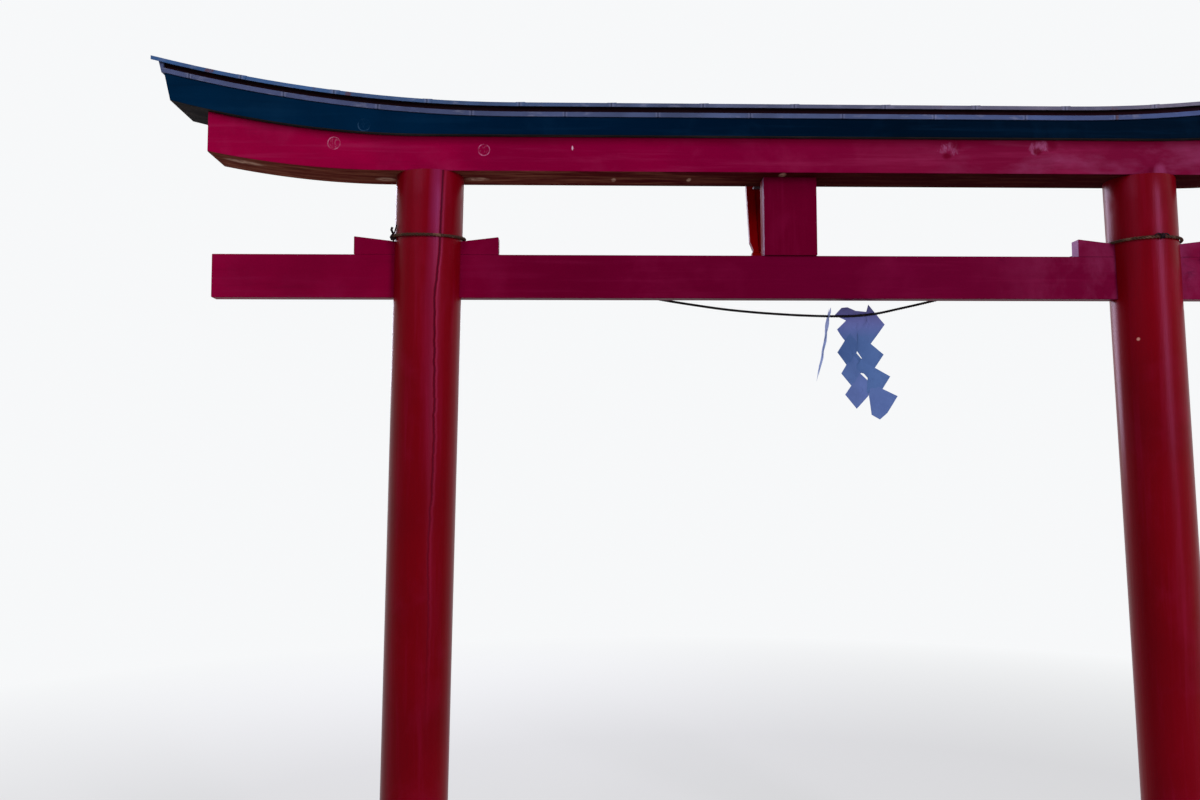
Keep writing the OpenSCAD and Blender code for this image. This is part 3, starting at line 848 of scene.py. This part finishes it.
def pillar_crack(m, base, height):
    """A drying crack that wanders down the left pillar, a raised lip beside it painted pale as a highlight,
    and a painted violet highlight left of the crack.
    """
    up = up_pillar(m)
    calm = m.ramp(up, [(0.74, 1.0), (0.90, 0.25)])
    ragged = m.times(m.times(m.minus(m.noise(BY_HEIGHT, 17, 5, 0.7), 0.5), 0.020), calm)
    width = m.plus(0.6, m.noise(BY_HEIGHT, 40, 3, 0.6, place=(0, 0, 4)))
    from_axis = m.minus(m.axis("X"), m.times(m.axis("Z"), LEFT_LEAN))
    off = m.minus(m.minus(from_axis, wander(m, CRACK_PATH)), ragged)
    front = m.ramp(m.times(m.facing("Y"), -1.0), [(0.2, 0.0), (0.4, 1.0)])
    reach = m.times(m.ramp(up, [(0.30, 0.0), (0.46, 0.35), (0.60, 0.55), (0.80, 1.0)]), front)
    gap = m.ramp(m.math("DIVIDE", m.math("ABSOLUTE", off), width), [(0.0, 1.0), (0.0012, 0.9), (0.0022, 0.0)])
    gap = m.times(gap, reach)
    # painted highlight: a violet band just left of the crack, strongest near the top
    painted_sheen = m.ramp(m.times(off, -10), [(0.0, 0.0), (0.04, 0.12), (0.13, 0.24), (0.26, 0.18), (0.44, 0.0)])
    high = m.ramp(up, [(0.60, 0.0), (0.77, 0.25), (0.90, 0.45), (0.95, 1.0)])
    base = m.mix(m.times(m.times(painted_sheen, high), front), base, srgb(140, 53, 118))
    # a raised lip right of the crack, its pale colour a painted highlight
    lip_and_highlight = m.ramp(m.math("ABSOLUTE", m.minus(off, 0.0075)), [(0.0, 1.0), (0.0045, 0.0)])
    base = m.mix(m.times(m.times(lip_and_highlight, reach), 0.32), base, srgb(150, 40, 78))
    base = m.mix(m.times(gap, 0.9), base, srgb(40, 0, 16))
    base, height = foot_grime(m, base, height)
    return base, m.minus(m.plus(height, m.times(lip_and_highlight, 0.5)), m.times(gap, 1.8))


def pillar_chip(m, base, height):
    """A small pale chip on the right pillar."""
    chip = m.times(m.spot((MID + 1.120, -0.10, UNDER - 0.540), (0.006, 0.04, 0.008)), 3.0, clamp=True)
    return foot_grime(m, m.mix(chip, base, srgb(196, 132, 120)), height)


# The plaque
def plaque_tint(m):
    """Painted shade towards the lintel; the back, which stands in shade, is painted a brighter red than the
    front as painted light.
    """
    z = m.times(m.minus(m.axis("Z"), UNDER - 0.30), 1 / 0.36)
    # the back's brighter red is painted light, its darker top painted shade
    back = m.ramp(z, [(0.0, srgb(180, 3, 9)), (0.5, srgb(168, 2, 9)), (1.0, srgb(126, 0, 8))])
    front = m.ramp(z, [(0.0, srgb(104, 4, 14)), (1.0, srgb(92, 0, 10))])
    faces_front = m.ramp(m.minus(m.facing("Y"), m.facing("X")), [(0.2, 0.0), (0.5, 1.0)])
    return m.mix(faces_front, back, front)


# Metal, rope and paper
def sheet_metal(name, tones, dark, rust, spots=(), laps=None, top=None):
    """Weathered roofing sheet: soft dents, chalky streaks, grime along the laps and rust beside them.

    laps gives the first lap's place and the distance between laps, and top the colour of faces that look up.
    """
    m = Nodes(name)
    broad = m.noise(EVEN, 4.0, 5, 0.6, 0.3)
    chalk = m.noise((0.3, 1, 1), 60, 4, 0.6)
    dent = m.noise((0.5, 1, 1), 16, 3, 0.5)
    colour = along_gate(m, tones)
    if top is not None:
        colour = m.mix(m.ramp(m.facing("Z"), [(0.3, 0.0), (0.6, 1.0)]), colour, top)
    base = m.mix(m.ramp(broad, [(0.34, 0.6), (0.62, 0.0)]), colour, dark)
    base = m.mix(m.ramp(chalk, [(0.55, 0.0), (0.75, 0.30)]), base, srgb(140, 142, 160))
    if laps is not None:
        first, period = laps
        away = m.times(m.math("PINGPONG", m.minus(m.axis("X"), MID + first), period / 2), 50)
        base = m.mix(m.ramp(away, [(0.05, 0.75), (0.16, 0.0)]), base, dark)
        base = m.mix(m.ramp(away, [(0.10, 0.0), (0.2, 0.3), (0.5, 0.0)]), base, srgb(120, 124, 150))
    ragged = m.noise(EVEN, 90, 4, 0.7)
    rusty = m.noise(EVEN, 7.5, 3, 0.6, place=(3, 1, 2))
    patch = m.times(m.ramp(rusty, [(0.66, 0.0), (0.72, 1.0)]), m.ramp(ragged, [(0.45, 0.0), (0.62, 1.0)]))
    for centre, radii in spots:
        spot = m.times(m.ramp(m.spot(centre, radii), [(0.0, 0.0), (0.4, 1.0)]),
                       m.ramp(ragged, [(0.34, 0.3), (0.55, 1.0)]))
        patch = m.math("MAXIMUM", patch, spot)
    base = m.mix(m.times(patch, 0.85), base, rust)
    m.link(base, m.bsdf.inputs["Base Color"])
    m.bsdf.inputs["Metallic"].default_value = 0.25
    m.bsdf.inputs["Specular IOR Level"].default_value = 0.2
    m.link(m.plus(0.42, m.times(chalk, 0.25)), m.bsdf.inputs["Roughness"])
    m.link(m.bump(m.plus(dent, m.times(patch, 0.15)), 0.003, 0.45), m.bsdf.inputs["Normal"])
    return m.mat


def rope_fibre(name, colour, pale, dark):
    """Matt twisted plant fibre with paler blots."""
    m = Nodes(name)
    fibre = m.noise(EVEN, 700, 3, 0.6)
    blot = m.noise(EVEN, 40, 4, 0.6)
    base = m.mix(m.ramp(fibre, [(0.35, 0.0), (0.68, 1.0)]), dark, colour)
    base = m.mix(m.ramp(blot, [(0.5, 0.0), (0.75, 0.7)]), base, pale)
    m.link(base, m.bsdf.inputs["Base Color"])
    m.bsdf.inputs["Roughness"].default_value = 0.9
    m.bsdf.inputs["Specular IOR Level"].default_value = 0.15
    m.link(m.bump(fibre, 0.0006, 0.8), m.bsdf.inputs["Normal"])
    return m.mat


def paper(name, colour, shade, violet, dark):
    """Rain-softened paper: cloudy and fibrous, its blue-grey painted sky shade, more violet near the rope as
    painted light, and each panel painted a little different as painted shade of its tilt.
    """
    m = Nodes(name)
    pulp = m.noise(EVEN, 420, 4, 0.6)
    cloud = m.noise(EVEN, 16, 4, 0.55)
    crease = m.noise(EVEN, 55, 3, 0.6, 1.2)
    base = m.mix(m.ramp(cloud, [(0.35, 0.0), (0.7, 1.0)]), shade, colour)
    panel = m.add("ShaderNodeNewGeometry").outputs["Random Per Island"]
    # painted shade: each panel a little darker or more violet, as its tilt would light it
    base = m.mix(m.ramp(panel, [(0.0, 0.55), (0.5, 0.0), (1.0, 0.0)]), base, dark)
    base = m.mix(m.ramp(panel, [(0.5, 0.0), (1.0, 0.35)]), base, violet)
    # painted light: the paper above the rope more violet
    high = m.ramp(m.plus(m.axis("Z"), 0.55 - UNDER), [(0.04, 0.0), (0.12, 1.0)])
    base = m.mix(high, base, violet)
    base = m.mix(m.ramp(pulp, [(0.6, 0.0), (0.8, 0.15)]), base, srgb(150, 160, 196))
    m.link(base, m.bsdf.inputs["Base Color"])
    m.bsdf.inputs["Roughness"].default_value = 0.8
    m.bsdf.inputs["Specular IOR Level"].default_value = 0.1
    m.link(m.bump(m.plus(m.times(pulp, 0.3), crease), 0.0008, 0.5), m.bsdf.inputs["Normal"])
    return m.mat


# Which look goes where
PALE_RED, DEEP_RED = srgb(130, 16, 48), srgb(88, 0, 3)
PILLAR_GLINT, BLACK_GLINT = (1.0, 0.32, 0.72), (0.05, 0.5, 1.0)  # tints of the gloss
pillar_left_mat = painted_wood(
    "pillar_left_lacquer", pillar_tint, PALE_RED, DEEP_RED, "Z", rough=0.31, spec=0.085,
    marks=pillar_crack, glint=PILLAR_GLINT)
pillar_right_mat = painted_wood(
    "pillar_right_lacquer", pillar_tint, PALE_RED, DEEP_RED, "Z", rough=0.31, spec=0.09,
    marks=pillar_chip, glint=PILLAR_GLINT)
beam_mat = painted_wood(
    "beam_lacquer", beam_tint, srgb(124, 24, 62), srgb(82, 0, 28), "X", rough=0.46, spec=0.04,
    marks=beam_marks)
strut_mat = painted_wood(
    "strut_lacquer", srgb(94, 0, 33), srgb(116, 16, 54), srgb(78, 0, 24), "Z", rough=0.5, spec=0.012,
    marks=strut_edge)
lintel_mat = painted_wood(
    "lintel_lacquer", lintel_tint, srgb(150, 44, 86), srgb(100, 0, 38), "X", rough=0.52, spec=0.02,
    marks=lintel_marks, underside=lintel_underside)
black_mat = painted_wood(
    "black_lacquer", black_tint, srgb(12, 44, 70), srgb(0, 12, 30), "X", rough=0.5, spec=0.02,
    marks=black_marks, underside=black_underside, glint=BLACK_GLINT)
cap_mat = painted_wood(
    "cap_wood", srgb(16, 12, 14), srgb(40, 34, 32), srgb(6, 5, 7), "X", rough=0.7, spec=0.1)
plaque_mat = painted_wood(
    "plaque_lacquer", plaque_tint, srgb(196, 36, 40), srgb(128, 0, 4), "Z", rough=0.5, spec=0.05)
band_mat = sheet_metal(
    "band_metal",
    [(-1.9, srgb(58, 68, 102)), (-1.3, srgb(64, 73, 108)), (-0.4, srgb(62, 76, 108)),
     (0.3, srgb(58, 73, 106)), (0.9, srgb(42, 61, 99)), (1.8, srgb(40, 58, 96))],
    srgb(30, 38, 62), srgb(56, 32, 30), laps=(BAND_LAPS[0], BAND_LAP_STEP),
    spots=[((MID + 1.06, -0.108, UNDER + 0.18), (0.006, 0.03, 0.03))])
roof_mat = sheet_metal(
    "roof_sheet_metal",
    [(-1.9, srgb(36, 72, 116)), (-1.3, srgb(50, 84, 126)), (-0.3, srgb(70, 81, 106)),
     (0.5, srgb(80, 79, 94)), (1.8, srgb(86, 81, 90))],
    srgb(34, 41, 62), srgb(70, 34, 34), laps=(ROOF_LAP_START, ROOF_LAP_STEP), top=srgb(62, 74, 98),
    spots=[((MID - 1.871, -0.118, UNDER + 0.311), (0.018, 0.05, 0.010)),
           ((MID - 1.431, -0.118, UNDER + 0.238), (0.012, 0.04, 0.009))])
hook_mat = sheet_metal(
    "hook_steel", [(-1, srgb(84, 74, 82)), (1, srgb(84, 74, 82))], srgb(48, 42, 48), srgb(86, 46, 34))
rope_mat = rope_fibre("rope_plant_fibre", srgb(76, 50, 36), srgb(138, 102, 80), srgb(32, 18, 14))
knot_mat = rope_fibre("rope_knot_fibre", srgb(34, 20, 24), srgb(58, 42, 40), srgb(16, 8, 16))
span_mat = rope_fibre("rope_dark_fibre", srgb(26, 20, 22), srgb(52, 44, 38), srgb(10, 8, 10))
# both papers are white; their blue-grey colours are painted sky shade
paper_mat = paper(
    "streamer_paper", srgb(80, 109, 156), srgb(70, 98, 145), srgb(112, 116, 174), srgb(56, 82, 126))
pale_paper_mat = paper(
    "streamer_pale_paper", srgb(134, 156, 204), srgb(116, 140, 192), srgb(140, 158, 206), srgb(96, 120, 172))

WEDGES = ["wedge_left_outer", "wedge_left_inner", "wedge_right_inner", "wedge_right_outer"]
PLAQUE_FRAME = ["plaque_frame_top", "plaque_frame_bottom", "plaque_frame_left", "plaque_frame_right"]
for look, nodes in (
        (pillar_left_mat, ["pillar_left"]), (pillar_right_mat, ["pillar_right"]),
        (beam_mat, ["tie_beam"] + WEDGES), (strut_mat, ["centre_strut"]),
        (lintel_mat, ["lower_lintel"]), (black_mat, ["upper_lintel"]),
        (band_mat, ["band_front", "band_back", "band_left", "band_right"]), (cap_mat, ["cap_board"]),
        (roof_mat, ["roof_sheet_left", "roof_sheet_middle", "roof_sheet_right"]),
        (plaque_mat, ["plaque_panel", "plaque_rest"] + PLAQUE_FRAME), (hook_mat, ["plaque_hook"])):
    for node in nodes:
        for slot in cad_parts[node].material_slots:
            slot.material = look
for look, pieces in (
        (rope_mat, loops), (knot_mat, [knot_left, knot_right]), (span_mat, [span]),
        (paper_mat, streamers[:1]), (pale_paper_mat, streamers[1:]),
        (roof_mat, [roof_laps]), (band_mat, band_laps)):
    for piece in pieces:
        piece.data.materials.append(look)

# Soft edges on timber, widths in millimetres
SOFT_EDGES = {"tie_beam": 2.5, "centre_strut": 1, "lower_lintel": 4, "upper_lintel": 3, "pillar_left": 3,
              "pillar_right": 3, "plaque_rest": 2}
SOFT_EDGES.update({node: 2 for node in WEDGES + PLAQUE_FRAME})
WELD_WITHIN = 0.00005
SHARP_FROM = math.radians(40)
for node, width in SOFT_EDGES.items():
    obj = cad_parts[node]
    obj.modifiers.new("weld", "WELD").merge_threshold = WELD_WITHIN
    bevel = obj.modifiers.new("soft_edges", "BEVEL")
    bevel.width = width * MM
    bevel.segments = 2
    bevel.limit_method = "ANGLE"
    bevel.angle_limit = SHARP_FROM

# Floor, background and light
FLOOR_Z = cad_box[0][2]
FLOOR_HALF = 40.0
FLOOR_TONE = (0.68, 0.69, 0.63, 1)
POOL_R = 7.0  # from this distance on, the floor is seen as plain white
WHITE = (0.93, 0.94, 0.95, 1)
SKY_TONE, SKY_LIGHT = (0.94, 0.96, 1.0, 1), 0.38


def make_floor():
    """A pale floor that keeps the gate's shadow and runs out into the white background."""
    corners = [(x * FLOOR_HALF, y * FLOOR_HALF, FLOOR_Z) for x, y in ((-1, -1), (1, -1), (1, 1), (-1, 1))]
    floor = new_mesh("floor", corners, [(0, 1, 2, 3)])
    m = Nodes("floor")
    m.tree.nodes.remove(m.bsdf)
    rays = m.add("ShaderNodeLightPath")
    diffuse = m.add("ShaderNodeBsdfDiffuse")
    diffuse.inputs[0].default_value = FLOOR_TONE
    glow = m.add("ShaderNodeEmission")
    glow.inputs[0].default_value = WHITE
    far = m.ramp(m.spot((MID, 0, FLOOR_Z), (POOL_R, POOL_R, POOL_R)), [(0.0, 1.0), (0.55, 0.44)])
    seen = m.math("MAXIMUM", rays.outputs["Is Camera Ray"], rays.outputs["Is Glossy Ray"])
    seen = m.math("MAXIMUM", seen, rays.outputs["Is Transmission Ray"])
    mix = m.add("ShaderNodeMixShader")
    m.link(m.times(far, seen), mix.inputs[0])
    m.link(diffuse.outputs[0], mix.inputs[1])
    m.link(glow.outputs[0], mix.inputs[2])
    m.link(mix.outputs[0], m.out.inputs[0])
    floor.data.materials.append(m.mat)


def make_world():
    """White where it is seen or mirrored, and a soft even light elsewhere."""
    world = bpy.data.worlds.new("world")
    bpy.context.scene.world = world
    world.use_nodes = True
    tree = world.node_tree
    tree.nodes.clear()
    out = tree.nodes.new("ShaderNodeOutputWorld")
    rays = tree.nodes.new("ShaderNodeLightPath")
    show = tree.nodes.new("ShaderNodeBackground")
    lit = tree.nodes.new("ShaderNodeBackground")
    mix = tree.nodes.new("ShaderNodeMixShader")
    seen = [tree.nodes.new("ShaderNodeMath") for _ in range(2)]
    for node in seen:
        node.operation = "MAXIMUM"
    show.inputs[0].default_value = WHITE
    lit.inputs[0].default_value = SKY_TONE
    lit.inputs[1].default_value = SKY_LIGHT
    for a, b in ((rays.outputs["Is Camera Ray"], seen[0].inputs[0]),
                 (rays.outputs["Is Glossy Ray"], seen[0].inputs[1]),
                 (seen[0].outputs[0], seen[1].inputs[0]),
                 (rays.outputs["Is Transmission Ray"], seen[1].inputs[1]),
                 (seen[1].outputs[0], mix.inputs[0]), (lit.outputs[0], mix.inputs[1]),
                 (show.outputs[0], mix.inputs[2]), (mix.outputs[0], out.inputs[0])):
        tree.links.new(a, b)


def area_lamp(name, place, target, size, power, colour):
    lamp = bpy.data.lights.new(name, "AREA")
    lamp.shape = "RECTANGLE"
    lamp.size, lamp.size_y = size
    lamp.energy = power
    lamp.color = colour
    obj = bpy.data.objects.new(name, lamp)
    bpy.context.collection.objects.link(obj)
    obj.location = place
    obj.rotation_euler = (Vector(target) - Vector(place)).to_track_quat("-Z", "Y").to_euler()
    obj.visible_camera = False


make_floor()
make_world()
area_lamp("key", (MID + 6.4, -10.2, 4.8), (MID, 0, 2.0),
          size=(2.7, 5.0), power=940, colour=(0.88, 0.80, 1.0))
area_lamp("fill", (MID - 4.0, -4.5, 5.5), (MID - 0.5, 0, 2.2),
          size=(3.0, 3.0), power=110, colour=(1.0, 0.97, 0.96))
area_lamp("back", (MID - 2.6, 7.0, 4.2), (MID, 0, 2.0),
          size=(4.5, 3.5), power=350, colour=(0.80, 0.76, 1.0))

bpy.context.scene.view_settings.view_transform = "Standard"
